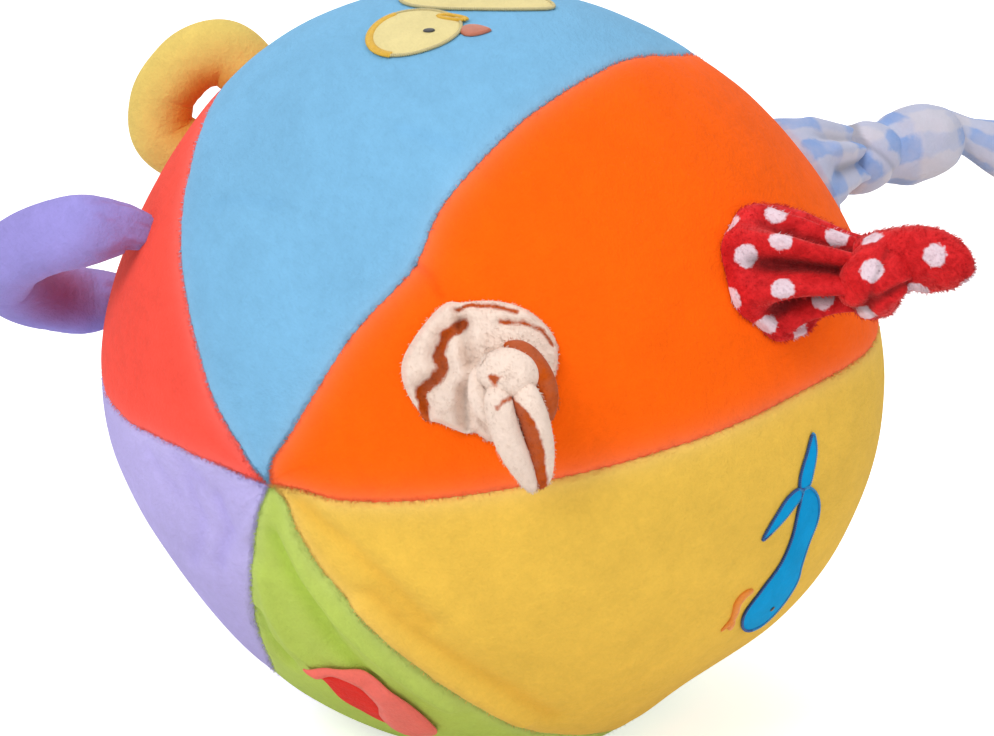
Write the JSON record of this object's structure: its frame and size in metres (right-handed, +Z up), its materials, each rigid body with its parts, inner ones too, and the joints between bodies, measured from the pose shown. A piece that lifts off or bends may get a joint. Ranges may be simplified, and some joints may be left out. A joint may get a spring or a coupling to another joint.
{
  "type": "plush activity ball",
  "caption": "Soft plush activity ball of coloured gores, with stuffed finger loops, knotted fabric tails, sewn-on bird and duckling figures and a lift-up pocket flap",
  "frame": {"origin": "the middle of the soft flat that the ball lies on", "axes": "+Z up out of that flat, -Y towards the viewer of the picture, +X to the viewer's right; the front pole, where the gores meet, points to -X -Y"},
  "size_m": [0.2708, 0.203, 0.1766],
  "materials": {
    "plush_blue": "matte",
    "plush_red": "matte",
    "plush_lavender": "matte",
    "plush_green": "matte",
    "plush_yellow": "matte",
    "plush_orange": "matte",
    "fibre_fill": "matte",
    "case_white": "satin",
    "bead_plastic": "gloss",
    "plush_gold": "matte",
    "plush_violet": "matte",
    "plush_cream_streaked": "matte",
    "plush_red_dotted": "matte",
    "cloth_blue_check": "matte",
    "plush_pale_yellow": "matte",
    "stitch_orange": "matte",
    "stitch_dark": "matte",
    "satin_blue": "matte",
    "plush_pocket_red": "matte"
  },
  "bodies": {
    "ball": {"panel_blue": "plush_blue", "panel_red": "plush_red", "panel_lavender": "plush_lavender", "panel_green": "plush_green", "panel_yellow": "plush_yellow", "panel_orange": "plush_orange", "stuffing_front": "fibre_fill", "stuffing_back": "fibre_fill", "rattle_cup": "case_white", "rattle_lid": "case_white", "tail_cream_flare": "plush_cream_streaked", "tail_dotted_flare": "plush_red_dotted", "tail_check_flare": "cloth_blue_check", "duck_head": "plush_pale_yellow", "duck_body": "plush_pale_yellow", "duck_beak": "stitch_orange", "duck_eye": "stitch_dark", "bird_body": "satin_blue", "bird_tail": "satin_blue", "bird_wing": "satin_blue", "bird_beak": "stitch_orange", "bird_eye": "stitch_dark", "pocket_backing": "plush_pocket_red"},
    "yellow_loop": {"loop_yellow": "plush_gold", "loop_yellow_fill": "fibre_fill"},
    "violet_loop": {"loop_violet": "plush_violet", "loop_violet_fill": "fibre_fill"},
    "cream_knot": {"tail_cream_knot": "plush_cream_streaked"},
    "cream_end": {"tail_cream_end": "plush_cream_streaked"},
    "dotted_knot": {"tail_dotted_knot": "plush_red_dotted"},
    "dotted_end": {"tail_dotted_end": "plush_red_dotted"},
    "check_knot": {"tail_check_knot": "cloth_blue_check"},
    "check_middle": {"tail_check_middle": "cloth_blue_check"},
    "check_end": {"tail_check_end": "cloth_blue_check"},
    "pocket_flap_body": {"pocket_flap": "plush_pocket_red"},
    "bead_1": {"rattle_bead_1": "bead_plastic"},
    "bead_2": {"rattle_bead_2": "bead_plastic"},
    "bead_3": {"rattle_bead_3": "bead_plastic"}
  },
  "joints": [
    {"name": "yellow_loop_swing", "type": "hinge", "parent": "ball", "child": "yellow_loop", "pos_m": [-0.06197, 0.051, 0.13221], "axis": [-0.5904, 0, -0.8071], "range_deg": [-25, 25], "stiffness_Nm_per_rad": 0.05},
    {"name": "violet_loop_swing", "type": "hinge", "parent": "ball", "child": "violet_loop", "pos_m": [-0.08586, -0.00096, 0.11093], "axis": [-0.1593, 0.855, -0.4936], "range_deg": [-25, 25], "stiffness_Nm_per_rad": 0.05},
    {"name": "cream_knot_nod", "type": "hinge", "parent": "ball", "child": "cream_knot", "pos_m": [0.00113, -0.09896, 0.11016], "axis": [0.9253, 0.3791, 0], "range_deg": [-20, 20], "stiffness_Nm_per_rad": 0.03},
    {"name": "cream_end_sway", "type": "hinge", "parent": "cream_knot", "child": "cream_end", "pos_m": [0.0049, -0.10888, 0.10307], "axis": [0.0245, -0.9988, 0.042], "range_deg": [-25, 25], "stiffness_Nm_per_rad": 0.01},
    {"name": "dotted_knot_nod", "type": "hinge", "parent": "ball", "child": "dotted_knot", "pos_m": [0.07592, -0.06313, 0.12211], "axis": [0.6775, 0.7355, 0], "range_deg": [-20, 20], "stiffness_Nm_per_rad": 0.03},
    {"name": "dotted_end_sway", "type": "hinge", "parent": "dotted_knot", "child": "dotted_end", "pos_m": [0.08907, -0.07443, 0.12543], "axis": [-0.2238, 0.1731, 0.9592], "range_deg": [-25, 25], "stiffness_Nm_per_rad": 0.01},
    {"name": "check_knot_nod", "type": "hinge", "parent": "ball", "child": "check_knot", "pos_m": [0.08361, 0.03875, 0.12657], "axis": [-0.5001, 0.866, 0], "range_deg": [-20, 20], "stiffness_Nm_per_rad": 0.06},
    {"name": "check_middle_sway", "type": "hinge", "parent": "check_knot", "child": "check_middle", "pos_m": [0.09669, 0.04586, 0.12812], "axis": [-0.0467, -0.0226, 0.9987], "range_deg": [-22, 22], "stiffness_Nm_per_rad": 0.04},
    {"name": "check_end_nod", "type": "hinge", "parent": "check_middle", "child": "check_end", "pos_m": [0.1177, 0.05646, 0.13093], "axis": [-0.2783, 0.9605, 0], "range_deg": [-25, 25], "stiffness_Nm_per_rad": 0.02},
    {"name": "pocket_flap_lift", "type": "hinge", "parent": "ball", "child": "pocket_flap_body", "pos_m": [-0.02349, -0.06472, 0.02437], "axis": [-0.8445, -0.1621, 0.5105], "range_deg": [0, 35], "stiffness_Nm_per_rad": 0.01},
    {"name": "bead_1_jump", "type": "slide", "parent": "ball", "child": "bead_1", "axis": [0, 0, 1], "range_m": [0, 0.013]},
    {"name": "bead_2_jump", "type": "slide", "parent": "ball", "child": "bead_2", "axis": [0, 0, 1], "range_m": [0, 0.013]},
    {"name": "bead_3_jump", "type": "slide", "parent": "ball", "child": "bead_3", "axis": [0, 0, 1], "range_m": [0, 0.013]}
  ]
}
